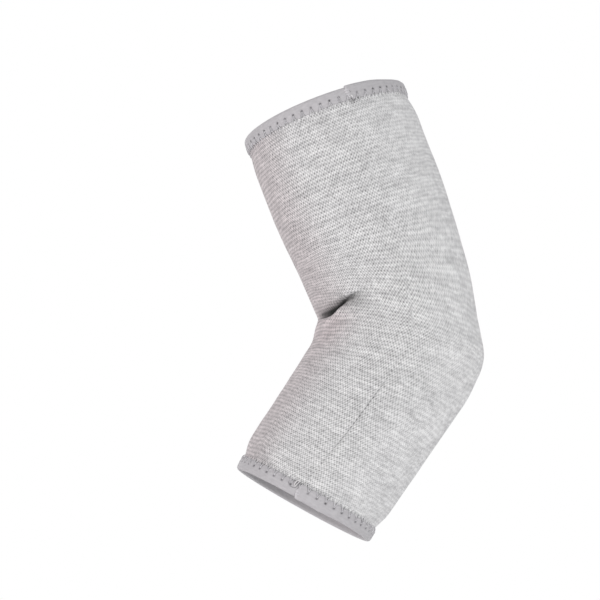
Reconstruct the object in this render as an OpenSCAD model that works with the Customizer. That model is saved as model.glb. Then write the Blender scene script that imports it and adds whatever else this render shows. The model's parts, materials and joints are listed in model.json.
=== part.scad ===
// Knitted elastic elbow support: a bent fabric sleeve, open at both ends, each mouth bound with a
// folded tape. +Z is up, the bend lies in the XZ plane, and the elbow's hinge line is the Y axis.
// The crook of the elbow is on the -X side and the point of the elbow on the +X side.

/* [Lengths] */
// Hinge line to the upper mouth, along the upper arm
upper_len = 126; // [115:1:140]
// Hinge line to the lower mouth, along the forearm
forearm_len = 104; // [98:1:120]

/* [Girth] */
// Diameter over the tape at the upper mouth
upper_cuff_d = 94; // [88:1:98]
// Diameter over the tape at the lower mouth
lower_cuff_d = 83; // [80:1:88]
// Depth of the knit at the elbow, from the crook to the back
elbow_depth = 88; // [84:1:92]
// Width of the knit at the elbow, side to side
elbow_w = 82; // [78:1:88]
// How much the upper arm swells past a straight taper, on the radius
upper_swell = 2.6; // [0:0.1:4]
// How much the forearm swells past a straight taper, on the radius
forearm_swell = 2.2; // [0:0.1:4]

/* [Bend] */
// Lean of the upper arm from vertical
upper_lean = 20; // [10:1:30]
// Bend of the elbow as it rests, where 0 is a straight arm
rest_bend = 49; // [40:1:60]
// Greatest bend of the elbow
max_bend = 130; // [110:1:132]

/* [Fabric] */
// Thickness of the knit
knit_t = 1.3; // [1:0.1:1.6]
// Thickness of one layer of the binding tape
tape_t = 0.8; // [0.6:0.1:1]
// Height of the folded tape
tape_h = 7; // [6:0.5:9]
// Width of the seam allowance that lies inside the sleeve
allowance_w = 6; // [4:0.5:8]

/* [Thread] */
// Thickness of the sewing thread
thread_d = 0.4; // [0.3:0.05:0.5]
// Distance between two needle holes along the tape's edge
stitch_pitch = 5.4; // [4:0.1:7]
// Distance between two turns of the overlock thread along the seam
overlock_pitch = 3.2; // [2.5:0.1:5]

/* [Hidden] */

sides = 48;                 // points round the knit
bend_rings = 12;            // rings over the bend
arm_rings = 6;              // rings along each arm
hinge_gap = 2;              // the arms' knit stops this far from the hinge plane
bend_gap = 0.15;            // hair's breadth between the knit of the bend and of each arm
crook_margin = 2;           // degrees kept free on each side of the crook at the greatest bend
slot_gap = 0.05;            // between the knit's outside and the tape
round_gap = 0.15;           // between the many-sided inside of the knit and the round tape
straight_end = tape_h + 3;  // the knit is a plain round tube this close to a mouth
lap_angle = 11;             // the tape's end lies over its start for this much of a turn
lap_lift = 0.7;             // thickness of the lapped end
lap_fuse = 0.1;             // the lapped end sinks this far into the tape
seam_sink = 0.3;            // the seam allowance is rooted this far in the knit
allowance_t = 2.2;          // two layers of knit, pressed together
hole_row = 2.3;             // the needle holes lie this far up from the tape's inner edge
leg_reach = 1.5;            // the thread reaches this far past that edge
edge_turn = 0.3;            // and turns down to the knit this far past it
inner_start = 0.4;          // the same two lengths for the thread inside the sleeve
inner_reach = 2.6;
thread_gap = 0.1;           // between a thread and the tape or knit it lies on
inside_gap = 0.2;           // the same inside the sleeve, where the knit is many-sided
seam_thread_gap = 0.3;      // and over the seam allowance
thread_sides = 8;
tack_row = 1.5;             // distance between two stitches that close the tape's lap
crook_sharpness = 9;        // how closely the knit follows the corner of the bend at the crook
back_sharpness = 2;         // and over the point of the elbow
forearm_turn = 180 + rest_bend - upper_lean;
crook_cut = (180 - max_bend) / 2 - crook_margin;

// Each arm: [length, cuff diameter, swell, centre from the hinge at the elbow and at the mouth]
UPPER = [upper_len, upper_cuff_d, upper_swell, 13, 12.2];
FOREARM = [forearm_len, lower_cuff_d, forearm_swell, 13.2, 8];

// Where the seam runs round the sleeve, in degrees from the point of the elbow
seam_at_elbow = -86;
seam_at_upper_mouth = -74.5;
seam_at_lower_mouth = -98;

// The two legs of an edge stitch, by the share of a stitch from its hole: [hole, tape edge, foot]
LEGS = [[0, -0.25, -0.42], [0.12, 0.12, 0.12]];

knit_grey = [0.83, 0.82, 0.83];
tape_grey = [0.68, 0.67, 0.70];
thread_grey = [0.60, 0.59, 0.62];

function mix(a, b, t) = a + (b - a) * t;
function knit_r(arm) = arm[1] / 2 - tape_t - slot_gap;
function tape_in_r(arm) = knit_r(arm) - knit_t - round_gap - tape_t;

// Share of the way from the elbow to the plain round end of an arm
function reach(arm, d) = min(1, max(0, d / (arm[0] - straight_end)));
function swell(arm, d) = arm[2] * sin(180 * pow(reach(arm, d), 2));

// Point of an arm's wall at distance d from the hinge, angle a round it, inset from the outside:
// [out from the hinge, sideways, along the arm]
function wall(arm, d, a, inset) = [
    mix(arm[3], arm[4], reach(arm, d))
        + (mix(elbow_depth / 2, knit_r(arm), reach(arm, d)) + swell(arm, d) - inset) * cos(a),
    (mix(elbow_w / 2, knit_r(arm), reach(arm, d)) + swell(arm, d) - inset) * sin(a),
    d
];

// Where an arm's knit ends at angle a: straight across on the back, a long notch at the crook
function offset_at(a) = UPPER[3] + elbow_depth / 2 * cos(a);
function cut(a) = hinge_gap + max(0, -offset_at(a)) / tan(crook_cut);

function turn_y(p, a) = [p.x * cos(a) + p.z * sin(a), p.y, -p.x * sin(a) + p.z * cos(a)];
function upper_place(p) = turn_y(p, -upper_lean);
function forearm_place(p) = turn_y([-p.x, p.y, p.z], forearm_turn);

// Where the two arms' walls would meet over the hinge, for walls su and sf out from it
function corner(su, sf, y) =
    upper_place([su, y, (su * cos(rest_bend) - sf) / sin(rest_bend)]);

// Share t of the way round the bend at angle a: the walls run into each other at the corner
function bend_point(a, inset, t) =
    let (
        p = wall(UPPER, cut(a) - bend_gap, a, inset),
        q = wall(FOREARM, cut(a) - bend_gap, a, inset),
        pe = wall(UPPER, 0, a, inset),
        qe = wall(FOREARM, 0, a, inset),
        c = corner(pe.x, qe.x, (pe.y + qe.y) / 2),
        w = mix(crook_sharpness, back_sharpness, (1 + cos(a)) / 2),
        wp = pow(1 - t, 2),
        wc = 2 * w * t * (1 - t),
        wq = t * t
    )
    (wp * upper_place(p) + wc * c + wq * forearm_place(q)) / (wp + wc + wq);

function arm_d(arm, a, k) = k < arm_rings
    ? mix(cut(a), arm[0] - straight_end, k / (arm_rings - 1))
    : arm[0] - tape_t - slot_gap;

// Skin over a closed loop of points carried through rings: outside out, inside back
module ring_solid(rings) {
    n = len(rings[0]);
    last = len(rings) - 1;
    polyhedron(
        points = [for (r = rings) each r],
        faces = [
            for (k = [0 : last - 1], i = [0 : n - 1])
                let (j = (i + 1) % n)
                each [
                    [k * n + i, k * n + j, (k + 1) * n + i],
                    [k * n + j, (k + 1) * n + j, (k + 1) * n + i]
                ],
            [for (i = [n - 1 : -1 : 0]) i],
            [for (i = [0 : n - 1]) last * n + i]
        ]
    );
}

// Tube wall between an outer and an inner grid, each a list of rings
module tube_solid(outer, inner) {
    n = len(outer[0]);
    m = len(outer);
    all = n * m;
    polyhedron(
        points = [for (r = outer) each r, for (r = inner) each r],
        faces = [
            for (k = [0 : m - 2], i = [0 : n - 1])
                let (j = (i + 1) % n, u = k * n, v = (k + 1) * n)
                each [
                    [u + i, u + j, v + i],
                    [u + j, v + j, v + i],
                    [all + u + j, all + u + i, all + v + i],
                    [all + u + j, all + v + i, all + v + j]
                ],
            for (i = [0 : n - 1])
                let (j = (i + 1) % n, v = (m - 1) * n)
                each [
                    [i, all + i, all + j],
                    [i, all + j, j],
                    [v + i, v + j, all + v + i],
                    [v + j, all + v + j, all + v + i]
                ]
        ]
    );
}

function circle_angle(i) = 360 * i / sides;

module upper_tube() {
    function grid(inset) = [for (k = [0 : arm_rings]) [for (i = [sides - 1 : -1 : 0])
        upper_place(wall(UPPER, arm_d(UPPER, circle_angle(i), k), circle_angle(i), inset))]];
    tube_solid(grid(0), grid(knit_t));
}

module forearm_tube() {
    function grid(inset) = [for (k = [0 : arm_rings]) [for (i = [0 : sides - 1])
        forearm_place(wall(FOREARM, arm_d(FOREARM, circle_angle(i), k), circle_angle(i), inset))]];
    tube_solid(grid(0), grid(knit_t));
}

module elbow_tube() {
    function grid(inset) = [for (k = [0 : bend_rings]) [for (i = [0 : sides - 1])
        bend_point(circle_angle(i), inset, k / bend_rings)]];
    tube_solid(grid(0), grid(knit_t));
}

// The seam allowance's section, as [angle past the seam line, inset] going round it
allowance_turn = allowance_w / (elbow_depth / 2) * 180 / PI;
SEAM_SECTION = [
    [0, knit_t - seam_sink], [allowance_turn / 2, knit_t - seam_sink],
    [allowance_turn, knit_t - seam_sink], [allowance_turn, knit_t + allowance_t],
    [allowance_turn / 2, knit_t + allowance_t], [0, knit_t + allowance_t]
];

function seam_angle(arm, d, mouth) = mix(seam_at_elbow, mouth, reach(arm, d));
function seam_d(arm, k) = mix(hinge_gap, arm[0] - straight_end, k / arm_rings);

module upper_allowance() {
    ring_solid([for (k = [arm_rings : -1 : 0]) let (d = seam_d(UPPER, k)) [for (s = SEAM_SECTION)
        upper_place(wall(UPPER, d, seam_angle(UPPER, d, seam_at_upper_mouth) + s[0], s[1]))]]);
}

module forearm_allowance() {
    ring_solid([for (k = [0 : arm_rings]) let (d = seam_d(FOREARM, k)) [for (s = SEAM_SECTION)
        forearm_place(wall(FOREARM, d, seam_angle(FOREARM, d, seam_at_lower_mouth) + s[0], s[1]))]]);
}

module elbow_allowance() {
    ring_solid([for (k = [0 : bend_rings]) [for (s = SEAM_SECTION)
        bend_point(seam_at_elbow + s[0], s[1], k / bend_rings)]]);
}

// Places a child at an arm's mouth: +Z out of the mouth, +X towards the back of the elbow
module at_upper_mouth() {
    rotate([0, -upper_lean, 0]) translate([UPPER[4], 0, UPPER[0]]) children();
}

module at_lower_mouth() {
    rotate([0, forearm_turn, 0]) mirror([1, 0, 0]) translate([FOREARM[4], 0, FOREARM[0]]) children();
}

module rod(p, q) {
    v = q - p;
    translate(p)
        rotate([0, acos(v.z / norm(v)), atan2(v.y, v.x)])
        cylinder(h = norm(v), d = thread_d, $fn = 16);
}

function polar(r, a, z) = [r * cos(a), r * sin(a), z];
function unit(v) = v / norm(v);

// Section of a thread at p that runs along a unit direction, with its first point facing out
function thread_ring(p, along, out) =
    let (side = unit(cross(along, out)), up = cross(side, along))
    [for (i = [0 : thread_sides - 1]) let (t = 360 * i / thread_sides)
        p + thread_d / 2 * (cos(t) * up - sin(t) * side)];

// Thread from p over q to s on a round wall, at angle a round it
module laid_thread(p, q, s, a) {
    out = [cos(a), sin(a), 0];
    first = unit(q - p);
    second = unit(s - q);
    ring_solid([
        thread_ring(p, first, out), thread_ring(q, unit(first + second), out), thread_ring(s, second, out)
    ]);
}

// Folded tape round a mouth, with its end lapped over its start at the seam
module binding_tape(arm, seam) {
    r_out = arm[1] / 2;
    r_in = tape_in_r(arm);
    rotate_extrude($fn = 96) polygon([
        [r_in, -tape_h], [r_in + tape_t, -tape_h], [r_in + tape_t, -tape_t],
        [r_out - tape_t, -tape_t], [r_out - tape_t, -tape_h], [r_out, -tape_h],
        [r_out, 0], [r_in, 0]
    ]);
    rotate([0, 0, seam]) rotate_extrude(angle = lap_angle, $fn = 96) polygon([
        [r_out - lap_fuse, -tape_h], [r_out + lap_lift, -tape_h], [r_out + lap_lift, lap_lift],
        [r_in + tape_t, lap_lift], [r_in + tape_t, -lap_fuse], [r_out - lap_fuse, -lap_fuse]
    ]);
}

// Each needle hole in the tape has a slanting leg of thread and an upright one. Both lie on the
// tape, bend over its edge and end in the knit
module edge_stitches(arm, seam) {
    count = round(PI * arm[1] / stitch_pitch);
    step = 360 / count;
    on_tape = arm[1] / 2 + thread_d / 2 + thread_gap;
    on_knit = knit_r(arm) + thread_d / 2 + thread_gap;
    lapped = ceil(lap_angle / step) + 1;
    for (i = [lapped : count - 1], leg = LEGS)
        laid_thread(
            polar(on_tape, seam + (i + leg[0]) * step, hole_row - tape_h),
            polar(on_tape, seam + (i + leg[1]) * step, -edge_turn - tape_h),
            polar(on_knit, seam + (i + leg[2]) * step, -leg_reach - tape_h),
            seam + i * step);
}

// The same row seen from inside the sleeve, clear of the tape's inner layer
module inner_stitches(arm) {
    count = round(PI * arm[1] / stitch_pitch);
    step = 360 / count;
    r = knit_r(arm) - knit_t - thread_d / 2 - inside_gap;
    for (i = [0 : count - 1], leg = [-1, 1])
        rod(polar(r, (i + leg * 0.1) * step, -inner_start - tape_h),
            polar(r, (i + leg * 0.4) * step, -inner_reach - tape_h));
}

// Short stitches side by side that close the lapped end of the tape
module lap_tack(arm, seam) {
    r = arm[1] / 2 + lap_lift + thread_d / 2;
    for (k = [1 : 4])
        rod(polar(r, seam + 0.18 * lap_angle, -tack_row * k),
            polar(r, seam + 0.5 * lap_angle, -tack_row * k));
}

// Overlock thread across the seam allowance, from the roots' side to its free edge
function across(t) = [
    allowance_turn * mix(0.12, 0.88, t), knit_t + allowance_t + thread_d / 2 + seam_thread_gap
];

module upper_seam_thread() {
    count = floor((UPPER[0] - straight_end - hinge_gap) / overlock_pitch);
    for (k = [1 : count - 1])
        let (d = hinge_gap + k * overlock_pitch, a = seam_angle(UPPER, d, seam_at_upper_mouth))
        rod(upper_place(wall(UPPER, d, a + across(0)[0], across(0)[1])),
            upper_place(wall(UPPER, d + overlock_pitch / 2, a + across(1)[0], across(1)[1])));
}

module forearm_seam_thread() {
    count = floor((FOREARM[0] - straight_end - hinge_gap) / overlock_pitch);
    for (k = [1 : count - 1])
        let (d = hinge_gap + k * overlock_pitch, a = seam_angle(FOREARM, d, seam_at_lower_mouth))
        rod(forearm_place(wall(FOREARM, d, a + across(0)[0], across(0)[1])),
            forearm_place(wall(FOREARM, d + overlock_pitch / 2, a + across(1)[0], across(1)[1])));
}

module elbow_seam_thread() {
    turns = 5;
    for (k = [0 : turns - 1])
        rod(bend_point(seam_at_elbow + across(0)[0], across(0)[1], (k + 0.5) / turns),
            bend_point(seam_at_elbow + across(1)[0], across(1)[1], (k + 0.7) / turns));
}

module upper_knit() { color(knit_grey) { upper_tube(); upper_allowance(); } }
module elbow_knit() { color(knit_grey) { elbow_tube(); elbow_allowance(); } }
module forearm_knit() { color(knit_grey) { forearm_tube(); forearm_allowance(); } }
module upper_binding_tape() { color(tape_grey) at_upper_mouth() binding_tape(UPPER, seam_at_upper_mouth); }
module lower_binding_tape() { color(tape_grey) at_lower_mouth() binding_tape(FOREARM, seam_at_lower_mouth); }
module upper_edge_stitches() {
    color(thread_grey) at_upper_mouth() edge_stitches(UPPER, seam_at_upper_mouth);
}
module lower_edge_stitches() {
    color(thread_grey) at_lower_mouth() edge_stitches(FOREARM, seam_at_lower_mouth);
}
module upper_inner_stitches() { color(thread_grey) at_upper_mouth() inner_stitches(UPPER); }
module lower_inner_stitches() { color(thread_grey) at_lower_mouth() inner_stitches(FOREARM); }
module upper_lap_tack() { color(thread_grey) at_upper_mouth() lap_tack(UPPER, seam_at_upper_mouth); }
module lower_lap_tack() { color(thread_grey) at_lower_mouth() lap_tack(FOREARM, seam_at_lower_mouth); }
module upper_seam_stitches() { color(thread_grey) upper_seam_thread(); }
module elbow_seam_stitches() { color(thread_grey) elbow_seam_thread(); }
module forearm_seam_stitches() { color(thread_grey) forearm_seam_thread(); }

upper_knit();
elbow_knit();
forearm_knit();
upper_binding_tape();
lower_binding_tape();
upper_edge_stitches();
lower_edge_stitches();
upper_inner_stitches();
lower_inner_stitches();
upper_lap_tack();
lower_lap_tack();
upper_seam_stitches();
elbow_seam_stitches();
forearm_seam_stitches();
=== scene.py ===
import json
import math

import bpy
import numpy as np
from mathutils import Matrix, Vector, noise


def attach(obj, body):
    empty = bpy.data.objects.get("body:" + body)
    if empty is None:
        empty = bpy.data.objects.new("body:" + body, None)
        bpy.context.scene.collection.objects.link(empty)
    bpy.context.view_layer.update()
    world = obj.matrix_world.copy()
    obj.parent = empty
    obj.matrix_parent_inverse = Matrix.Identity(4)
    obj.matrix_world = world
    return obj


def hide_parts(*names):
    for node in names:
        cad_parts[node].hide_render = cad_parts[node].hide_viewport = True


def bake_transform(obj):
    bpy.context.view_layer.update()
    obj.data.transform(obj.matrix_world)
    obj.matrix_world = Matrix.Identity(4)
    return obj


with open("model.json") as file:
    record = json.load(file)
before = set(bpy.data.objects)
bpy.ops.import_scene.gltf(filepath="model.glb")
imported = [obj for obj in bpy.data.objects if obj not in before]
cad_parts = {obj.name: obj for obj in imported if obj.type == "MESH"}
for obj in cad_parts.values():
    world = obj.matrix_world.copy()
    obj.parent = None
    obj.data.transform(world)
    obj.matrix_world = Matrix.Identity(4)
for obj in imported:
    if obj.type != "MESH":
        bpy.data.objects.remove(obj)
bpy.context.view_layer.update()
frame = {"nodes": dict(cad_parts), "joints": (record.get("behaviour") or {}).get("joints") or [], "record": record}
mounts = {m["name"]: m for m in frame["record"]["mounts"]}
hinge = np.array(frame["joints"][0]["pos_m"], float)
across = np.array((0.0, 1.0, 0.0))  # the hinge line
print("frame loaded:", len(frame["nodes"]), "nodes")


# the two arms of the sleeve, from the mounts at its mouths

def armFrame(mountName):
    mount = mounts[mountName]
    along = np.array(mount["axis"], float)
    along /= np.linalg.norm(along)
    out = np.cross(across, along) * (1 if along[2] > 0 else -1)  # towards the back of the elbow
    grip = mount["dims"]["length_mm"] / 1000
    middle = np.array(mount["pos_m"], float) - hinge
    return {
        "along": along,
        "out": out,
        "reach": middle @ along + grip / 2,  # hinge line to the mouth
        "centre": middle @ out,
        "inner": mount["dims"]["r_mm"] / 1000,
        "grip": grip,
    }


upperArm = armFrame("upper_cuff")
foreArm = armFrame("lower_cuff")

tape = {
    "thickness": 0.0008,
    "foldDrop": 0.00155,      # the fold's round starts this far below the mouth
    "slack": 0.00015,         # room between its inner layer and the knit
    "surface": 0.0031,        # from its inside to its outside, over the knit
    "holeRow": 0.0047,        # needle holes, down from the mouth
    "holeSize": 0.0006,
    "holeDepth": 0.00055,
    "stitchPitch": 0.0054,
    "columnsPerStitch": 12,
    "scallop": 0.00025,       # how far the thread pulls the inner edge in and out
    "swelling": 0.00016,      # the tape swells this much between two holes
    "belly": 0.00018,         # and across its width
    "wander": 0.00012,        # slow unevenness round the mouth
    "lapLift": 0.00055,       # the lapped end stands up this far
    "lapLength": 0.011,
    "lapBow": 0.0008,         # its edge bows this far back
    "mouthLift": 0.0009,      # and it stands this far past the mouth
    "lapHighlightWidth": 0.0005,       # a painted highlight runs this wide along the lapped end's raised edge
}

sleeve = {
    "thickness": 0.0013,
    "columns": 300,
    "crowding": 0.82,         # how much the columns crowd towards the seam
    "creaseSpan": (-0.009, 0.025),
    "fineRows": 84,           # rows over the crease
    "armRows": 38,            # rows on each arm past it
    "waleWidth": 0.00074,
    "waleRadius": 0.0435,     # the wales are counted round a tube this wide
    "courseHeight": 0.00110,
    "fanLength": 0.065,       # the courses fan out this far from the hinge
    "backRound": 0.0092,      # rounding of the bend at the back and at the crook
    "crookRound": 0.0030,
    "elbowPoint": 0.13,       # how much the back narrows at the elbow
    "elbowLength": 0.032,     # and over what distance along it
    "uneven": [(0.022, 0.00035, 3.1), (0.008, 0.00012, 8.4)],  # size, height and seed of the waves
    "paintedWarmShade": 0.8,             # painted shade with a pinkish painted reflection, on the side of the crook
    "backGapShade": 0.42,        # how strong the painted shade in the gaps stays at the back, of what it is elsewhere
    "crookGapShade": 0.20,        # and how much stronger it gets at the crook
    # outlines, as (distance from the hinge, how far out from it)
    "upperBack": [(-0.045, 0.0475), (-0.008, 0.0530), (0.012, 0.0567), (0.035, 0.0588),
                  (0.065, 0.0605), (0.095, 0.0604), (0.110, 0.0600)],
    "upperCrook": [(-0.045, -0.0290), (0.000, -0.0298), (0.018, -0.0300), (0.040, -0.0313),
                   (0.070, -0.0340), (0.090, -0.0347), (0.110, -0.0345)],
    "upperSide": [(-0.045, 0.0405), (0.000, 0.0410), (0.030, 0.0432), (0.070, 0.0462), (0.095, 0.0466)],
    "foreBack": [(-0.045, 0.0560), (-0.005, 0.0583), (0.010, 0.0589), (0.024, 0.0576),
                 (0.048, 0.0553), (0.074, 0.0526), (0.088, 0.0510)],
    "foreCrook": [(-0.045, -0.0340), (0.010, -0.0336), (0.016, -0.0326), (0.023, -0.0308), (0.032, -0.0313),
                  (0.044, -0.0318), (0.054, -0.0323), (0.066, -0.0332), (0.078, -0.0343), (0.088, -0.0343)],
    "foreSide": [(-0.045, 0.0405), (0.000, 0.0410), (0.030, 0.0432), (0.060, 0.0434), (0.078, 0.0426)],
    "plainEnd": 0.0085,       # a plain round tube this close to each mouth
    "mouthLean": 0.048,       # the upper mouth's near side stands this much higher, per metre of Y
    # a stretch line over the upper arm: degrees round from the crook, by distance along it
    "pullLine": [(0.02, 71), (0.033, 67), (0.078, 50), (0.12, 44)],
    "pullHeight": 0.00055,
    "pullWidth": 6,           # degrees
    "squeeze": 0.00030,       # the stitches pull the knit in beside each tape
}

# the crease that the bend presses into the crook, by degrees round from it; more than 0 faces -Y
crease = {
    "path": [(-180, 0.0280), (-110, 0.0240), (-76, 0.0190), (-60, 0.0145), (-48, 0.0090), (-38, 0.0040),
             (-24, 0.0008), (14, 0.0004), (26, 0.0008), (35, 0.0028), (42, 0.0066), (49, 0.0105),
             (57, 0.0138), (68, 0.0172), (80, 0.0204), (110, 0.0250), (180, 0.0280)],
    "depth": [(-180, 0), (-110, 0), (-80, 0.0004), (-60, 0.0018), (-42, 0.0040), (-20, 0.0030),
              (0, 0.0002), (10, 0.0011), (20, 0.0036), (32, 0.0062), (42, 0.0066), (50, 0.0042),
              (58, 0.0024), (68, 0.0011), (85, 0.0005), (120, 0), (180, 0)],
    "below": [(-180, 0.007), (-80, 0.007), (-56, 0.0050), (-44, 0.0016), (-30, 0.0010), (30, 0.0009),
              (41, 0.0011), (50, 0.0034), (60, 0.0056), (85, 0.008), (180, 0.009)],
    "above": [(-180, 0.006), (-80, 0.0030), (-56, 0.0014), (-44, 0.0024), (-30, 0.0040), (0, 0.0030),
              (20, 0.0038), (36, 0.0044), (44, 0.0024), (52, 0.0009), (66, 0.0014), (85, 0.004),
              (180, 0.007)],
    # how strong the painted shade in the crease is, by degrees round from the crook
    "shadeStrength": [(-180, 0), (-90, 0), (-70, 0.15), (-55, 0.55), (-40, 0.9), (-22, 0.55), (-8, 0.12),
             (0, 0.05), (8, 0.25), (16, 0.75), (24, 0.98), (42, 1), (50, 0.80), (60, 0.42), (68, 0.12),
             (78, 0), (180, 0)],
    "coreStart": 0.42,        # the painted shade's darkest part starts this far into the open side, in crease widths
    "coreWidth": 0.36,
    "softShade": 0.36,
    # soft painted shades near the crease, as degrees, distance from the bend, size round and along, strength
    "lip": (54, 0.0085, 12, 0.0042, 0.36),
    "spots": [(44, -0.0026, 5, 0.0012, 0.20), (40, -0.0108, 4, 0.0012, 0.22), (93, 0.0226, 4, 0.0014, 0.16)],
    "underShadeSpot": (32, -0.006, 22, 0.011, 0.5),  # painted shade with a pinkish painted reflection under it, on both sides
    "rollHeight": 0.0010,     # the cloth swells beside the crease, on its steep side
    "rollPlace": 0.0034,
    "rollWidth": 0.0022,
}

seam = {
    # degrees from the back of the elbow, by distance along the sleeve, forearm less than 0
    "line": [(-0.104, -96.5), (-0.078, -91.5), (-0.040, -87.5), (0.000, -85), (0.060, -80), (0.126, -74.5)],
    "show": [(-0.104, 0.25), (-0.080, 0.55), (-0.062, 1.0), (-0.036, 1.0), (-0.024, 0.35), (0.0, 0.12),
             (0.126, 0.10)],
    "radius": 0.044,          # turns an angle into a distance round the sleeve
    "groove": 0.00032,
    "grooveWidth": 0.00028,
    "ridge": 0.00016,         # the allowance under the cloth lifts it beside the seam
    "ridgeWidth": 0.003,
    # strength of the painted shade along the seam's groove
    "shade": 0.42,
    "allowanceWidth": 0.0060,
    "allowanceThickness": 0.0021,
    "ripple": 0.00022,        # its free edge waves with the thread
    "threadPitch": 0.0032,
}


def smoothLine(points, x):
    px, py = (np.array(c, float) for c in zip(*points))
    slope = np.gradient(py, px)
    x = np.clip(x, px[0], px[-1])
    i = np.clip(np.searchsorted(px, x) - 1, 0, len(px) - 2)
    width = px[i + 1] - px[i]
    u = (x - px[i]) / width
    v = 1 - u
    return (py[i] * v * v * (1 + 2 * u) + py[i + 1] * u * u * (3 - 2 * u)
            + slope[i] * width * u * v * v - slope[i + 1] * width * u * u * v)


def softStep(x, low, high):
    u = np.clip((x - low) / (high - low), 0, 1)
    return u * u * (3 - 2 * u)


def bell(x, width):
    return np.exp(-(x / width) ** 2)


def knitRadius(arm):
    return arm["inner"] + tape["thickness"] + tape["slack"] + sleeve["thickness"]


def outline(arm, name, roundTo):
    # the drawn outline, carried on to the plain round end at the mouth
    start = arm["reach"] - sleeve["plainEnd"]
    return sleeve[name] + [(start, roundTo), (arm["reach"] + 0.002, roundTo)]


for arm, name in ((upperArm, "upper"), (foreArm, "fore")):
    arm["back"] = outline(arm, name + "Back", arm["centre"] + knitRadius(arm))
    arm["crook"] = outline(arm, name + "Crook", arm["centre"] - knitRadius(arm))
    arm["side"] = outline(arm, name + "Side", knitRadius(arm))


def wallAt(arm, angle, d):
    # out from the hinge and sideways, on the outside of an arm at distance d along it
    back = smoothLine(arm["back"], d)
    crook = smoothLine(arm["crook"], d)
    pinch = sleeve["elbowPoint"] * np.maximum(np.cos(angle), 0) ** 2 * bell(d, sleeve["elbowLength"])
    return ((back + crook) / 2 + (back - crook) / 2 * np.cos(angle),
            smoothLine(arm["side"], d) * np.sin(angle) * (1 - pinch))


def placed(arm, outward, sideways, d):
    return (hinge + outward[..., None] * arm["out"] + sideways[..., None] * across
            + d[..., None] * arm["along"])


nudge = 1e-4                  # for slopes, in metres or radians


def wallInPlane(arm, angle, d):
    # the wall's place with its sideways part left out
    return placed(arm, wallAt(arm, angle, d)[0], d * 0, d)


def cornerDistances(angle, rounds=12, longestStep=0.02):
    # where the two arms' walls cross over the hinge, as a distance along each
    du = np.zeros_like(angle)
    df = np.zeros_like(angle)
    for step in range(rounds):
        pu = wallInPlane(upperArm, angle, du)
        pf = wallInPlane(foreArm, angle, df)
        tu = (wallInPlane(upperArm, angle, du + nudge) - pu) / nudge
        tf = (wallInPlane(foreArm, angle, df + nudge) - pf) / nudge
        gap = pf - pu
        det = tf[..., 0] * tu[..., 2] - tu[..., 0] * tf[..., 2]
        stepU = (gap[..., 2] * tf[..., 0] - gap[..., 0] * tf[..., 2]) / det
        stepF = (gap[..., 2] * tu[..., 0] - gap[..., 0] * tu[..., 2]) / det
        du = du + np.clip(stepU, -longestStep, longestStep)
        df = df + np.clip(stepF, -longestStep, longestStep)
    return du, df


cornerAngles = np.radians(np.linspace(-360, 360, 1441))
cornerTable = cornerDistances(cornerAngles)


def sleevePoint(angle, t):
    # the outside of the sleeve at an angle round it and a distance t along it from the bend,
    # above 0 on the upper arm; each arm's wall runs into the other's round the corner
    cu = np.interp(angle, cornerAngles, cornerTable[0])
    cf = np.interp(angle, cornerAngles, cornerTable[1])
    h = sleeve["crookRound"] + (sleeve["backRound"] - sleeve["crookRound"]) * (1 + np.cos(angle)) / 2
    up = np.where(t >= h, t, np.where(t > -h, (t + h) ** 2 / (4 * h), 0))
    down = np.where(-t >= h, -t, np.where(-t > -h, (h - t) ** 2 / (4 * h), 0))
    du = cu * (1 - softStep(t, 0, sleeve["fanLength"])) + up
    df = cf * (1 - softStep(-t, 0, sleeve["fanLength"])) + down
    ou, su = wallAt(upperArm, angle, du)
    of, sf = wallAt(foreArm, angle, df)
    corner = wallInPlane(upperArm, angle, cu)
    share = softStep(t, -h, h)
    point = placed(upperArm, ou, ou * 0, du) + placed(foreArm, of, of * 0, df) - corner
    side = su * share + sf * (1 - share)
    lean = -sleeve["mouthLean"] * side * softStep(t, 0.05, upperArm["reach"] - 0.012)
    return point + side[..., None] * across + lean[..., None] * upperArm["along"]


def outwardNormals(grid):
    # grid is rows along the sleeve by columns round it, closed round
    padded = np.concatenate([grid[:, -1:], grid, grid[:, :1]], axis=1)
    normal = np.cross(padded[:, 2:] - padded[:, :-2], np.gradient(grid, axis=0))
    return normal / np.linalg.norm(normal, axis=2, keepdims=True)


def seamAngle(t):
    return np.radians(smoothLine(seam["line"], t))


def roundFromCrook(angle):
    return (np.degrees(angle) + 360) % 360 - 180


def softSpot(degrees, t, spot):
    place, distance, sizeRound, sizeAlong, strength = spot
    return strength * np.exp(-((degrees - place) / sizeRound) ** 2 - ((t - distance) / sizeAlong) ** 2)


def creaseShape(angle, t):
    # depth of the crease here, the swelling beside it, and the painted shade inside it
    degrees = roundFromCrook(angle)
    x = t - smoothLine(crease["path"], degrees)
    depth = np.maximum(smoothLine(crease["depth"], degrees), 0)
    below = smoothLine(crease["below"], degrees)
    above = smoothLine(crease["above"], degrees)
    width = np.where(x > 0, above, below)
    valley = depth * bell(x, width)
    steep = np.where(above > below, -1, 1)
    swelling = crease["rollHeight"] * bell(x * steep - crease["rollPlace"], crease["rollWidth"])
    swelling = swelling * np.minimum(depth / 0.005, 1)
    swelling = swelling * np.clip(np.abs(above - below) / 0.0015, 0, 1)
    shadeStrength = np.clip(smoothLine(crease["shadeStrength"], degrees), 0, 1)
    # the painted shade is darkest on its open side, where it can be seen into, with a soft painted shade under the
    # steep lip
    intoOpen = -x * steep
    wide = np.maximum(above, below)
    pastCore = np.maximum(intoOpen - crease["coreStart"] * wide, 0) / (crease["coreWidth"] * wide)
    core = np.exp(-pastCore ** 1.5) * (x * steep < 0.0006)
    shade = shadeStrength * np.maximum(core, crease["softShade"] * bell(x, width * 1.35))
    for spot in [crease["lip"]] + crease["spots"]:
        shade = np.maximum(shade, softSpot(degrees, t, spot))
    return valley, swelling, np.clip(shade, 0, 1)


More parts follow.
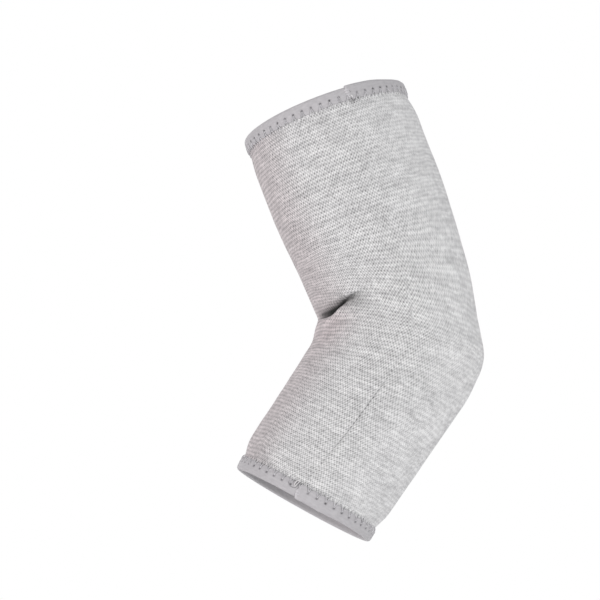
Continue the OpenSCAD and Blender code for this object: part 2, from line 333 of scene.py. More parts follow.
def relief(angle, t, offset):
    # how far the cloth stands out from its smooth form
    valley, swelling = creaseShape(angle, t)[:2]
    degrees = roundFromCrook(angle)
    arc = offset * seam["radius"]
    strength = smoothLine(seam["show"], t)
    groove = seam["groove"] * strength * bell(arc, seam["grooveWidth"])
    pucker = 0.5 + 0.5 * np.cos(t * 2 * math.pi / seam["threadPitch"])
    ridge = bell(arc - seam["ridgeWidth"], seam["ridgeWidth"]) * (0.7 + 0.3 * pucker)
    ridge = seam["ridge"] * strength * ridge
    pull = sleeve["pullHeight"] * bell(degrees - smoothLine(sleeve["pullLine"], t), sleeve["pullWidth"])
    pull = pull * softStep(t, 0.02, 0.035) * (1 - softStep(t, 0.07, 0.11))
    squeeze = 0.0
    for arm, side in ((upperArm, 1), (foreArm, -1)):
        edge = arm["reach"] - arm["grip"] - 0.0012
        squeeze = squeeze + sleeve["squeeze"] * bell(t * side - edge, 0.0011)
    return swelling - valley - groove + ridge + pull - squeeze


def waves(grid, size, amount, seed):
    shift = Vector((seed, seed * 1.7, seed * 0.3))
    flat = grid.reshape(-1, 3) / size
    values = np.array([noise.noise(Vector(p) + shift) for p in flat])
    return values.reshape(grid.shape[:2]) * amount


def meshPiece(name, points, faces, smooth=True):
    mesh = bpy.data.meshes.new(name)
    mesh.from_pydata([tuple(p) for p in points], [], faces)
    mesh.validate()
    mesh.update()
    if smooth:
        mesh.shade_smooth()
    obj = bpy.data.objects.new(name, mesh)
    bpy.context.scene.collection.objects.link(obj)
    return obj


def ringFaces(rings, points, start=0):
    # four-sided faces between closed rings of points
    faces = []
    for i in range(start, start + (rings - 1) * points, points):
        for k in range(points):
            n = (k + 1) % points
            faces.append((i + k, i + n, i + points + n, i + points + k))
    return faces


def tubeFaces(rings, points):
    # the same with a face over each end
    last = (rings - 1) * points
    return ringFaces(rings, points) + [tuple(reversed(range(points))), tuple(range(last, last + points))]


def floatAttribute(mesh, name, values):
    attribute = mesh.attributes.new(name, "FLOAT", "POINT")
    attribute.data.foreach_set("value", np.asarray(values, np.float32).ravel())


def cornerIndices(mesh):
    # the point at each corner of each face, and the first corner of each face
    corners = np.zeros(len(mesh.loops), np.int64)
    mesh.loops.foreach_get("vertex_index", corners)
    starts = np.zeros(len(mesh.polygons), np.int64)
    mesh.polygons.foreach_get("loop_start", starts)
    return corners, starts


def addCoordinates(mesh, name, values):
    layer = mesh.uv_layers.new(name=name)
    layer.data.foreach_set("uv", np.asarray(values, np.float32).ravel())


def stitchCount(arm):
    return round(2 * math.pi * (arm["inner"] + tape["surface"]) / tape["stitchPitch"])


# each tape's lap lies on the seam
upperArm["lap"] = float(seamAngle(np.array(upperArm["reach"])))
foreArm["lap"] = float(seamAngle(np.array(-foreArm["reach"])))


# the knitted sleeve: one cloth tube with a thickness, bent at the elbow

def sleeveGrid():
    upperEnd = upperArm["reach"] - tape["thickness"] - 0.0001
    foreEnd = foreArm["reach"] - tape["thickness"] - 0.0001
    low, high = sleeve["creaseSpan"]
    t = np.concatenate([
        np.linspace(-foreEnd, low, sleeve["armRows"], endpoint=False),
        np.linspace(low, high, sleeve["fineRows"], endpoint=False),
        np.linspace(high, upperEnd, sleeve["armRows"]),
    ])
    # columns crowd towards the seam, which is where the cloth's pattern starts and ends
    even = np.linspace(0, 2 * math.pi, sleeve["columns"], endpoint=False)
    offset = even - sleeve["crowding"] * np.sin(even)
    angle = seamAngle(t)[:, None] + offset[None, :]
    return angle, np.broadcast_to(t[:, None], angle.shape), np.broadcast_to(offset[None, :], angle.shape)


def edgeCoordinates(mesh, angle, t, columns, corners, starts):
    # for the stitches at the mouths: stitches round from the lap, and mm in from the mouth
    onUpper = t > 0
    lap = np.where(onUpper, upperArm["lap"], foreArm["lap"])
    count = np.where(onUpper, stitchCount(upperArm), stitchCount(foreArm))
    inwards = np.where(onUpper, upperArm["reach"] - t, foreArm["reach"] + t)
    turns = (angle - lap) / (2 * math.pi)
    values = np.stack([turns * count, inwards * 1000], axis=2).reshape(-1, 2)[corners]
    whole = count.ravel()[corners]
    column = corners % columns
    for s in starts:
        if np.ptp(column[s:s + 4]) > 1:
            values[s:s + 4, 0] += np.where(column[s:s + 4] == 0, whole[s:s + 4], 0)
    addCoordinates(mesh, "edge", values)


def makeSleeve():
    angle, t, offset = sleeveGrid()
    rows, columns = angle.shape
    nearOffset = (offset + math.pi) % (2 * math.pi) - math.pi
    base = sleevePoint(angle, t)
    height = relief(angle, t, nearOffset)
    for size, amount, seed in sleeve["uneven"]:
        height = height + waves(base, size, amount, seed)
    fromMouth = np.minimum(upperArm["reach"] - t, foreArm["reach"] + t)
    plain = np.minimum(1, np.maximum(0, (fromMouth - 0.0075) / 0.003))  # no relief under the tapes
    baseNormals = outwardNormals(base)
    outer = base + baseNormals * (height * plain)[..., None]
    inner = outer - outwardNormals(outer) * sleeve["thickness"]
    for row in (0, 1, 2, -3, -2, -1):  # inside the tape the wall is exactly its own thickness
        inner[row] = base[row] - baseNormals[row] * sleeve["thickness"]
    count = rows * columns
    faces = ringFaces(rows, columns) + [face[::-1] for face in ringFaces(rows, columns, count)]
    top = (rows - 1) * columns
    for c in range(columns):  # the two ends of the wall
        n = (c + 1) % columns
        faces.append((c, count + c, count + n, n))
        faces.append((top + n, count + top + n, count + top + c, top + c))
    obj = meshPiece("knit_sleeve", np.concatenate([outer.reshape(-1, 3), inner.reshape(-1, 3)]), faces)
    # the cloth's own coordinates, in stitches: wales round the sleeve, courses along it
    wales = round(math.pi * sleeve["waleRadius"] / sleeve["waleWidth"]) * 2
    cloth = np.stack([offset / (2 * math.pi) * wales, t / sleeve["courseHeight"]], axis=2).reshape(-1, 2)
    corners, starts = cornerIndices(obj.data)
    values = cloth[corners % count].copy()
    # the last column of each row closes on the first, one whole turn further on
    for s in starts:
        face = values[s:s + 4]
        if face[:, 0].max() - face[:, 0].min() > wales / 2:
            face[face[:, 0] < wales / 2, 0] += wales
    addCoordinates(obj.data, "stitches", values)
    edgeCoordinates(obj.data, angle, t, columns, corners % count, starts)
    # what the material reads: the first two, the painted shade in the crease and along the seam, only show on the
    # outside
    shade = creaseShape(angle, t)[2]
    # painted shade along the seam's groove
    line = bell(nearOffset * seam["radius"], seam["grooveWidth"]) * smoothLine(seam["show"], t)
    line = seam["shade"] * line
    for name, values in (("paintedShade", shade), ("seamShade", line)):
        floatAttribute(obj.data, name, np.concatenate([values.ravel(), values.ravel() * 0]))
    degrees = roundFromCrook(angle)
    toCrook = np.cos(np.radians(degrees))
    # painted shade with a pinkish painted reflection, on the crook side and under the crease
    paintedWarmShade = softStep(toCrook, 0.45, 1.0) * sleeve["paintedWarmShade"]
    underCreaseShade = softSpot(np.abs(degrees), t, crease["underShadeSpot"]) * (t < smoothLine(crease["path"], degrees))
    # the painted shade in the gaps is weaker towards the back of the elbow and stronger at the crook
    facing = softStep(toCrook, -0.85, 0.05)
    gapShade = sleeve["backGapShade"] + (1 - sleeve["backGapShade"]) * facing
    gapShade = gapShade + sleeve["crookGapShade"] * softStep(toCrook, 0.35, 0.9)
    for name, values in (("paintedWarmShade", np.clip(paintedWarmShade + underCreaseShade, 0, 1)), ("gapShade", gapShade)):
        floatAttribute(obj.data, name, np.tile(values.ravel(), 2))
    return obj


knit = makeSleeve()
print("knit sleeve:", len(knit.data.polygons), "faces")


# binding tape: folded over each mouth, its end lapped over its start

def mouthPoint(arm, r, angle, z):
    # z is up out of the mouth
    side = r * np.sin(angle)
    lean = sleeve["mouthLean"] if arm is upperArm else 0
    return placed(arm, arm["centre"] + r * np.cos(angle), side, arm["reach"] + z - lean * side)


def tapeProfile(arm):
    # the folded strip's outline as (radius, height), and how far each point is on the outer layer
    half = tape["thickness"] / 2
    outerR = arm["inner"] + half + sleeve["thickness"] + 0.0002 + tape["thickness"]
    innerR = arm["inner"] + half
    drop = tape["foldDrop"]
    bend = (outerR - innerR) / 2
    line = [(outerR, z) for z in np.linspace(-arm["grip"], -drop, 17)]
    for a in np.linspace(0, math.pi, 9)[1:-1]:  # round the fold
        line.append(((outerR + innerR) / 2 + bend * math.cos(a), -drop + (drop - half) * math.sin(a)))
    line += [(innerR, z) for z in np.linspace(-drop, -arm["grip"], 7)]
    line = np.array(line)
    direction = np.gradient(line, axis=0)
    direction /= np.linalg.norm(direction, axis=1, keepdims=True)
    side = np.stack([direction[:, 1], -direction[:, 0]], axis=1)
    roundEnd = (0.9, math.pi / 2, 2.2)
    cap = [line[-1] + half * (math.cos(a) * side[-1] + math.sin(a) * direction[-1]) for a in roundEnd]
    tip = [line[0] - half * (math.cos(a) * side[0] + math.sin(a) * direction[0]) for a in roundEnd]
    rest = len(line) - 17
    outside = np.concatenate([np.ones(17), np.linspace(1, 0, rest), np.zeros(3),
                              np.linspace(0, 0.8, rest), np.full(17, 0.8), np.ones(3)])
    return np.concatenate([line + side * half, cap, (line - side * half)[::-1], tip]), outside


def lapRise(arm, offset):
    # height of the lapped end over the tape under it, offset in radians from the lap
    run = offset * arm["inner"]
    return np.where(run >= 0, 1 - softStep(run, 0.25 * tape["lapLength"], tape["lapLength"]), 0)


def slowNoise(offset, scale, arm, seed):
    return np.array([noise.noise(Vector((o * scale, arm["lap"], seed))) for o in offset])[:, None]


def makeTape(name, arm):
    # offsets run round from the lapped end's edge
    profile, outside = tapeProfile(arm)
    stitches = stitchCount(arm)
    columns = stitches * tape["columnsPerStitch"]
    offset = np.concatenate([[-0.00012 / arm["inner"], 0.00012 / arm["inner"]],
                             np.linspace(0, 2 * math.pi, columns, endpoint=False)[1:]])
    phase = (offset * stitches / (2 * math.pi)) % 1.0
    fromHole = np.minimum(phase, 1 - phase) * tape["stitchPitch"]
    r = profile[:, 0][None, :] + np.zeros((len(offset), 1))
    z = profile[:, 1][None, :] + np.zeros((len(offset), 1))
    out = outside[None, :]
    near = bell(fromHole[:, None], tape["holeSize"]) * bell(z + tape["holeRow"], tape["holeSize"])
    between = (1 - bell(fromHole[:, None], 0.0015)) * bell(z + tape["holeRow"], 0.0012)
    r = r + out * (tape["swelling"] * between - tape["holeDepth"] * near)
    acrossTape = np.sin(np.clip(-z / arm["grip"], 0, 1) * math.pi)
    r = r + out * acrossTape * tape["belly"]
    edge = softStep(-z, arm["grip"] - 0.0022, arm["grip"]) * out
    wander = slowNoise(offset, 9, arm, 4.0)
    z = z + edge * (tape["scallop"] * np.cos(phase * 2 * math.pi)[:, None] + 0.0003 * wander)
    r = r - edge * tape["belly"] + out * tape["wander"] * wander
    r = r + out * tape["lapLift"] * lapRise(arm, offset)[:, None]
    run = offset * arm["inner"]
    lifted = np.where(run >= 0, 1 - softStep(run, 0.012, 0.030), 0)[:, None]
    z = z + lifted * (1 - softStep(-z, 0.0, 0.004)) * tape["mouthLift"]
    # the lapped end's edge bows back between the mouth and the tape's inner edge
    bow = np.sin(np.clip(-z / arm["grip"], 0, 1) * math.pi) * bell(run, 0.002)[:, None] * out
    angle = (arm["lap"] + offset)[:, None] - bow * tape["lapBow"] / arm["inner"]
    n, m = r.shape
    faces = []
    for i in range(n):
        j = (i + 1) % n
        for k in range(m):
            q = (k + 1) % m
            face = (i * m + k, j * m + k, j * m + q, i * m + q)
            faces.append(face[::-1] if arm is foreArm else face)
    obj = meshPiece(name, mouthPoint(arm, r, angle, z).reshape(-1, 3), faces)
    # the strip's own coordinates: round the mouth, and round its section
    corners, starts = cornerIndices(obj.data)
    length = np.concatenate([[0], np.cumsum(np.linalg.norm(np.diff(profile, axis=0), axis=1))])
    values = np.stack([offset[corners // m] * arm["inner"], length[corners % m]], axis=1)
    whole = 2 * math.pi * arm["inner"]
    for s in starts:
        face = values[s:s + 4]
        for side, span in ((0, whole), (1, length[-1])):
            if np.ptp(face[:, side]) > span / 2:
                face[face[:, side] < span / 2, side] += span
    addCoordinates(obj.data, "strip", values * 1000)
    inwards = -z[0][corners % m] * 1000 + 50 * (outside[corners % m] < 0.9)
    addCoordinates(obj.data, "edge", np.stack([values[:, 0] / whole * stitches, inwards], axis=1))
    # painted shade in the needle holes, which are also dimpled
    patchy = np.clip(0.95 + 0.9 * slowNoise(offset, 5, arm, 9.0), 0.5, 1)
    floatAttribute(obj.data, "hole", np.clip(near * out * 1.3 * patchy, 0, 1))
    # a painted highlight along the lapped end's raised edge
    pale = bell(run - 0.9 * tape["lapHighlightWidth"], tape["lapHighlightWidth"])[:, None] * (r * 0 + 1) * out
    floatAttribute(obj.data, "lapHighlight", pale)
    return obj


upperTape = makeTape("upper_tape", upperArm)
lowerTape = makeTape("lower_tape", foreArm)
print("binding tapes:", len(upperTape.data.polygons), len(lowerTape.data.polygons), "faces")


# sewing thread, repeated by geometry nodes

thread = {
    "radius": 0.00017,
    "sides": 7,
    "bends": 6,
    "jitter": 0.10,           # how unevenly long the stitches are
    "seed": 5,
    "sink": 0.0004,           # its ends lie this deep in the cloth
    "bow": 0.0012,            # the middle of a leg is pulled out towards here
}


def newTree(name, inputs):
    tree = bpy.data.node_groups.new(name, "GeometryNodeTree")
    tree.interface.new_socket(name="Geometry", in_out="OUTPUT", socket_type="NodeSocketGeometry")
    for label, kind in inputs:
        tree.interface.new_socket(name=label, in_out="INPUT", socket_type=kind)
    return tree, tree.nodes.new("NodeGroupInput"), tree.nodes.new("NodeGroupOutput")


def addNode(tree, kind, links=(), **settings):
    node = tree.nodes.new(kind)
    for key, value in settings.items():
        setattr(node, key, value)
    for socket, source in links:
        if hasattr(source, "outputs"):  # a node stands for its first output
            source = source.outputs[0]
        if hasattr(source, "is_output"):
            tree.links.new(source, node.inputs[socket])
        else:
            node.inputs[socket].default_value = source
    return node


def threadTube(tree, given, names):
    # one leg of thread; the names are the inputs for its start, middle and end
    leg = addNode(tree, "GeometryNodeCurveQuadraticBezier", (
        ("Resolution", given["Bends"]), ("Start", given[names[0]]), ("Middle", given[names[1]]),
        ("End", given[names[2]])))
    ring = addNode(tree, "GeometryNodeCurvePrimitiveCircle", (
        ("Resolution", given["Sides"]), ("Radius", given["Thread Radius"])))
    return addNode(tree, "GeometryNodeCurveToMesh", (
        ("Curve", leg), ("Profile Curve", ring), ("Fill Caps", True)))


def stitchTree(name, inputs, legs, layOut):
    # two legs of thread at each point that layOut gives, turned as it says
    names = sorted({n for leg in legs for n in leg})
    tree, group, result = newTree(name, inputs + [(n, "NodeSocketVector") for n in names] + threadInputs)
    given = group.outputs
    joined = addNode(tree, "GeometryNodeJoinGeometry")
    for leg in legs:
        tree.links.new(threadTube(tree, given, leg).outputs["Mesh"], joined.inputs[0])
    low = addNode(tree, "ShaderNodeMath", ((0, 1.0), (1, given["Jitter"])), operation="SUBTRACT")
    high = addNode(tree, "ShaderNodeMath", ((0, 1.0), (1, given["Jitter"])), operation="ADD")
    size = addNode(tree, "FunctionNodeRandomValue", (
        (2, low), (3, high), ("Seed", given["Seed"])), data_type="FLOAT").outputs[1]
    points, rotation, sized = layOut(tree, given)
    scale = addNode(tree, "ShaderNodeCombineXYZ", [(a, size if a in sized else 1.0) for a in "XYZ"])
    copies = addNode(tree, "GeometryNodeInstanceOnPoints", (
        ("Points", points), ("Instance", joined), ("Rotation", rotation), ("Scale", scale)))
    real = addNode(tree, "GeometryNodeRealizeInstances", (("Geometry", copies),))
    smooth = addNode(tree, "GeometryNodeSetShadeSmooth", (("Geometry", real),))
    painted = addNode(tree, "GeometryNodeSetMaterial", (
        ("Geometry", smooth), ("Material", given["Material"])))
    tree.links.new(painted.outputs["Geometry"], result.inputs["Geometry"])
    return tree


threadInputs = [
    ("Bends", "NodeSocketInt"), ("Sides", "NodeSocketInt"), ("Thread Radius", "NodeSocketFloat"),
    ("Jitter", "NodeSocketFloat"), ("Seed", "NodeSocketInt"), ("Material", "NodeSocketMaterial"),
]


def roundRing(tree, given):
    # X is out from the ring, Z along its axis
    ring = addNode(tree, "GeometryNodeMeshCircle", (
        ("Vertices", given["Count"]), ("Radius", given["Ring Radius"])))
    place = addNode(tree, "GeometryNodeInputPosition")
    facing = addNode(tree, "FunctionNodeAlignRotationToVector", (
        ("Vector", place),), axis="X", pivot_axis="Z")
    return ring, facing, "YZ"


def alongPath(tree, given):
    # X runs along the path, Z stands up from the cloth
    path = addNode(tree, "GeometryNodeMeshToCurve", (("Mesh", given["Path"]),))
    even = addNode(tree, "GeometryNodeResampleCurve", (
        ("Curve", path), ("Length", given["Pitch"])), mode="LENGTH")
    tangent = addNode(tree, "GeometryNodeInputTangent")
    along = addNode(tree, "FunctionNodeAlignRotationToVector", (("Vector", tangent),), axis="X")
    stand = addNode(tree, "GeometryNodeInputNamedAttribute", (
        ("Name", "standing"),), data_type="FLOAT_VECTOR")
    facing = addNode(tree, "FunctionNodeAlignRotationToVector", (
        ("Rotation", along), ("Vector", stand)), axis="Z", pivot_axis="X")
    return even, facing, "X"


def runTree(name, tree, values, source=None):
    # gives the tree's result as a plain mesh object, with no modifier on it
    carrier = bpy.data.objects.new(name + "_source", source or bpy.data.meshes.new(name + "_empty"))
    bpy.context.scene.collection.objects.link(carrier)
    modifier = carrier.modifiers.new("stitches", "NODES")
    modifier.node_group = tree
    names = {s.name: s.identifier for s in tree.interface.items_tree if s.in_out == "INPUT"}
    for label, value in values.items():
        modifier[names[label]] = value
    bpy.context.view_layer.update()
    shown = carrier.evaluated_get(bpy.context.evaluated_depsgraph_get())
    mesh = bpy.data.meshes.new_from_object(shown)
    mesh.name = name
    bpy.data.objects.remove(carrier)
    obj = bpy.data.objects.new(name, mesh)
    bpy.context.scene.collection.objects.link(obj)
    return obj


# materials

def newMaterial(name):
    material = bpy.data.materials.new(name)
    material.use_nodes = True
    tree = material.node_tree
    return material, tree, tree.nodes["Principled BSDF"]


def calc(tree, operation, *values):
    return addNode(tree, "ShaderNodeMath", tuple(enumerate(values)), operation=operation).outputs[0]


def plus(tree, first, *others):
    for value in others:
        first = calc(tree, "ADD", first, value)
    return first


def times(tree, first, *others):
    for value in others:
        first = calc(tree, "MULTIPLY", first, value)
    return first


def remap(tree, value, fromLow, fromHigh, toLow, toHigh, smooth=False):
    return addNode(tree, "ShaderNodeMapRange", (
        ("Value", value), ("From Min", fromLow), ("From Max", fromHigh),
        ("To Min", toLow), ("To Max", toHigh)),
        interpolation_type="SMOOTHSTEP" if smooth else "LINEAR").outputs[0]


def blendColor(tree, factor, first, second, kind="MIX"):
    return addNode(tree, "ShaderNodeMix", (
        ("Factor", factor), (6, first), (7, second)), data_type="RGBA", blend_type=kind).outputs[2]


def attributeValue(tree, name):
    return addNode(tree, "ShaderNodeAttribute", attribute_name=name).outputs["Fac"]


def ownCoordinates(tree, name):
    uv = addNode(tree, "ShaderNodeUVMap", uv_map=name).outputs["UV"]
    parts = addNode(tree, "ShaderNodeSeparateXYZ", (("Vector", uv),))
    return uv, parts.outputs["X"], parts.outputs["Y"]


def pair(tree, x, y):
    return addNode(tree, "ShaderNodeCombineXYZ", (("X", x), ("Y", y))).outputs["Vector"]


def cloudy(tree, place, scale, detail, dimensions="2D"):
    return addNode(tree, "ShaderNodeTexNoise", (
        ("Vector", place), ("Scale", scale), ("Detail", detail)), noise_dimensions=dimensions).outputs


def randomEach(tree, cell):
    return addNode(tree, "ShaderNodeTexWhiteNoise", (("Vector", cell),), noise_dimensions="2D").outputs[0]


def finishShader(tree, shader, colour, height, look):
    tree.links.new(colour, shader.inputs["Base Color"])
    bump = addNode(tree, "ShaderNodeBump", (
        ("Height", height), ("Strength", look["bump"]), ("Distance", look["relief"])))
    tree.links.new(bump.outputs["Normal"], shader.inputs["Normal"])
    for name, value in look["surface"].items():
        shader.inputs[name].default_value = value


stitch = {
    "hole": 4.7,              # mm in from the mouth, where both legs start
    "foot": 8.5,              # and where they end in the knit
    "slant": -0.42,           # the slanting leg's foot, in stitches round from the hole
    "upright": 0.12,          # the other leg's foot
    "pressWidth": 0.62,       # mm of cloth pressed down on each side of a leg
    # strength of the pressed groove beside a leg: its painted shade, and in the knit also its bump
    "pressShade": 0.42,
    "dot": 0.55,              # mm, the painted spot of shade at a foot
    "footShade": 0.75,
    "manyTurns": 1000.0,      # keeps a count of stitches above 0
}


def stitchMarks(tree):
    # painted shade beside each leg of thread, where it presses the cloth down, and a painted spot of shade where
    # it enters the knit
    x, y = ownCoordinates(tree, "edge")[1:]
    along = remap(tree, y, stitch["hole"], stitch["foot"], 0.0, 1.0)
    pitch = tape["stitchPitch"] * 1000
    start = remap(tree, y, stitch["hole"] + 0.4, stitch["hole"] + 0.9, 0.0, 1.0, smooth=True)
    end = remap(tree, y, stitch["foot"] - 0.1, stitch["foot"] + 0.35, 1.0, 0.0, smooth=True)
    drop = calc(tree, "SUBTRACT", y, stitch["foot"])
    marks, footShades = [], []
    for lean in (stitch["slant"], stitch["upright"]):
        fromLeg = calc(tree, "SUBTRACT", x, times(tree, along, lean))
        apart = calc(tree, "PINGPONG", plus(tree, fromLeg, stitch["manyTurns"]), 0.5)
        marks.append(remap(tree, times(tree, apart, pitch), 0.2, stitch["pressWidth"], 1.0, 0.0, True))
        atFoot = calc(tree, "PINGPONG", plus(tree, x, stitch["manyTurns"] - lean), 0.5)
        atFoot = times(tree, atFoot, pitch)
        far = calc(tree, "SQRT", plus(tree, times(tree, atFoot, atFoot), times(tree, drop, drop)))
        footShades.append(remap(tree, far, 0.15, stitch["dot"], 1.0, 0.0, True))
    patches = addNode(tree, "ShaderNodeTexNoise", (
        ("W", times(tree, x, 0.6)), ("Scale", 1.0), ("Detail", 2.0)), noise_dimensions="1D")
    uneven = remap(tree, patches, 0.35, 0.65, 0.35, 1.0)
    pressShade = times(tree, calc(tree, "MAXIMUM", *marks), times(tree, start, end), stitch["pressShade"])
    spots = times(tree, calc(tree, "MAXIMUM", *footShades), stitch["footShade"])
    return times(tree, pressShade, uneven), times(tree, spots, uneven)


knitLook = {
    "thread": (0.975, 0.970, 0.967, 1),
    "greyThread": (0.515, 0.51, 0.515, 1),
    # painted shade: in the gaps between loops, beside the threads and along the seam
    "gap": (0.13, 0.13, 0.13, 1),
    # pinkish painted shade, multiplied in
    "paintedWarmShade": (0.96, 0.865, 0.875, 1),
    "gapStrength": 0.64,
    "gapRange": (-0.75, 1.15),    # how dark a gap's painted shade is, from the shape of the loops round it
    "courseShare": 0.30,          # how much more open one course is than the next
    "courseShade": 0.14,
    "drift": (2.2, 1.6),          # how far wales and courses wander, in stitches
    "runs": (0.085, 7.31, 0.44),  # grey runs: scale along a course, step between courses, share
    "broad": (0.042, 0.24, 0.40),  # broad grey: scale round, scale along, share
    "eachLoop": 0.22,
    "greyRange": (0.34, 0.88),
    # near-black painted shade, for the crease and where the threads enter the knit
    "paintedShade": (0.020, 0.022, 0.020, 1),
    "bump": 0.6,
    "relief": 0.00030,
    "surface": {"Roughness": 0.92, "Sheen Weight": 0.18, "Sheen Roughness": 0.6, "Specular IOR Level": 0.25},
}


def heatherKnit():
    material, tree, shader = newMaterial("heather_knit")
    uv, x, y = ownCoordinates(tree, "stitches")
    clouds = cloudy(tree, uv, 0.06, 1.0)["Color"]
    drift = addNode(tree, "ShaderNodeSeparateColor", (("Color", clouds),)).outputs
    wale, course = (plus(tree, place, times(tree, calc(tree, "SUBTRACT", shift, 0.5), most))
                    for place, shift, most in zip((x, y), drift, knitLook["drift"]))
    waleIndex = calc(tree, "FLOOR", wale)
    courseIndex = calc(tree, "FLOOR", course)
    # gaps between the loops lie in bricks, painted dark with shade: dark ones in one course, fainter ones in the
    # next
    waleWave = calc(tree, "COSINE", times(tree, wale, math.pi))
    courseWave = calc(tree, "COSINE", times(tree, course, math.pi))
    spread = plus(tree, times(tree, waleWave, courseWave), times(tree, courseWave, knitLook["courseShare"]))
    own = randomEach(tree, pair(tree, calc(tree, "ROUND", wale), calc(tree, "ROUND", course)))
    gap = remap(tree, spread, *knitLook["gapRange"], 0.0, 1.0)
    gap = times(tree, gap, plus(tree, times(tree, own, 0.6), 0.75), attributeValue(tree, "gapShade"))
    # grey yarn shows in short runs along a course, and each loop has its own shade
    scale, step, runShare = knitLook["runs"]
    runs = cloudy(tree, pair(tree, times(tree, wale, scale), times(tree, courseIndex, step)), 1.0, 1.0)["Fac"]
    scaleRound, scaleAlong, broadShare = knitLook["broad"]
    broad = pair(tree, times(tree, wale, scaleRound), times(tree, course, scaleAlong))
    broad = cloudy(tree, broad, 1.0, 2.0)["Fac"]
    loopShade = randomEach(tree, pair(tree, waleIndex, courseIndex))
    grey = plus(tree, times(tree, runs, runShare), times(tree, broad, broadShare),
                times(tree, loopShade, knitLook["eachLoop"]))
    greyShare = remap(tree, grey, *knitLook["greyRange"], 0.0, 1.0)
    colour = blendColor(tree, greyShare, knitLook["thread"], knitLook["greyThread"])
    ribShade = remap(tree, courseWave, -1.0, 1.0, 0.0, knitLook["courseShade"])
    colour = blendColor(tree, ribShade, colour, knitLook["greyThread"])
    # painted shade with a pinkish painted reflection, towards the crook
    colour = blendColor(tree, attributeValue(tree, "paintedWarmShade"), colour, knitLook["paintedWarmShade"], "MULTIPLY")
    pressShade, foot = stitchMarks(tree)
    # painted shade over the knit: in the gaps, beside the threads, at their feet, along the seam and in the crease
    for factor, tint in ((times(tree, gap, knitLook["gapStrength"]), "gap"), (pressShade, "gap"), (foot, "paintedShade"),
                         (attributeValue(tree, "seamShade"), "gap"), (attributeValue(tree, "paintedShade"), "paintedShade")):
        colour = blendColor(tree, factor, colour, knitLook[tint])
    height = plus(tree, times(tree, spread, -0.42), times(tree, loopShade, 0.12))
    height = calc(tree, "SUBTRACT", height, times(tree, pressShade, 1.2))
    finishShader(tree, shader, colour, height, knitLook)
    return material


tapeLook = {
    "cloth": (0.505, 0.49, 0.505, 1),
    "pale": (0.59, 0.575, 0.59, 1),
    # painted shade, for the needle holes and beside the threads
    "hole": (0.04, 0.04, 0.045, 1),
    # colour of the painted highlight on the lapped end's edge
    "edge": (0.72, 0.70, 0.72, 1),
    "warp": 0.42,             # mm from yarn to yarn
    "weft": 0.36,
    "bump": 0.45,
    "relief": 0.00012,
    "surface": {"Roughness": 0.72, "Sheen Weight": 0.25, "Sheen Roughness": 0.45, "Specular IOR Level": 0.3},
}


def bindingTape():
    material, tree, shader = newMaterial("binding_tape")
    uv, x, y = ownCoordinates(tree, "strip")
    # fine lengthwise yarns crossed by finer ones
    warp = calc(tree, "COSINE", times(tree, y, 2 * math.pi / tapeLook["warp"]))
    weft = calc(tree, "COSINE", times(tree, x, 2 * math.pi / tapeLook["weft"]))
    weave = times(tree, warp, weft)
    stretched = addNode(tree, "ShaderNodeMapping", (("Vector", uv), ("Scale", (0.35, 0.9, 1.0))))
    mottle = cloudy(tree, stretched, 1.0, 3.0)["Fac"]
    grain = cloudy(tree, uv, 5.0, 2.0)["Fac"]
    share = plus(tree, times(tree, mottle, 0.8), times(tree, weave, 0.16))
    colour = blendColor(tree, remap(tree, share, 0.2, 0.65, 0.0, 1.0), tapeLook["cloth"], tapeLook["pale"])
    # painted shade beside the threads and in the needle holes, and a painted highlight on the lapped end's edge
    pressShade = stitchMarks(tree)[0]
    for factor, tint in ((pressShade, "hole"), (attributeValue(tree, "hole"), "hole"),
                         (times(tree, attributeValue(tree, "lapHighlight"), 0.6), "edge")):
        colour = blendColor(tree, factor, colour, tapeLook[tint])
    finishShader(tree, shader, colour, plus(tree, times(tree, weave, 0.5), grain), tapeLook)
    return material


threadLook = {
    # the two shades that each thread's fibres run between
    "sewing_thread": ((0.56, 0.55, 0.57, 1), (0.78, 0.77, 0.79, 1)),
    "dark_thread": ((0.05, 0.05, 0.055, 1), (0.12, 0.115, 0.12, 1)),
    "pale_thread": ((0.62, 0.60, 0.61, 1), (0.86, 0.85, 0.85, 1)),
    "bump": 0.6,
    "relief": 0.00008,
    "surface": {"Roughness": 0.6, "Sheen Weight": 0.3},
}


def sewingThread(name):
    material, tree, shader = newMaterial(name)
    place = addNode(tree, "ShaderNodeTexCoord").outputs["Object"]
    fibre = cloudy(tree, place, 2600.0, 2.0, "3D")["Fac"]
    patch = cloudy(tree, place, 220.0, 1.0, "3D")["Fac"]
    share = plus(tree, times(tree, fibre, 0.5), times(tree, patch, 0.5))
    colour = blendColor(tree, remap(tree, share, 0.35, 0.65, 0.0, 1.0), *threadLook[name])
    finishShader(tree, shader, colour, fibre, threadLook)
    return material


knitMaterial = heatherKnit()
tapeMaterial = bindingTape()
threadMaterial, darkThread, paleThread = map(sewingThread, ("sewing_thread", "dark_thread", "pale_thread"))
knit.data.materials.append(knitMaterial)
upperTape.data.materials.append(tapeMaterial)
lowerTape.data.materials.append(tapeMaterial)
print("materials made")


# rows of stitches at the mouths

ringTree = stitchTree(
    "stitchRing", [("Count", "NodeSocketInt"), ("Ring Radius", "NodeSocketFloat")],
    [("Leg Start", "Slant Middle", "Slant End"), ("Leg Start", "Upright Middle", "Upright End")], roundRing)
seamTree = stitchTree(
    "seamThread", [("Path", "NodeSocketGeometry"), ("Pitch", "NodeSocketFloat")],
    [("Loop Start", "Loop Middle", "Loop End"), ("Loop End", "Return Middle", "Return End")], alongPath)


def threadValues(material):
    return {"Bends": thread["bends"], "Sides": thread["sides"], "Thread Radius": thread["radius"],
            "Jitter": thread["jitter"], "Seed": thread["seed"], "Material": material}


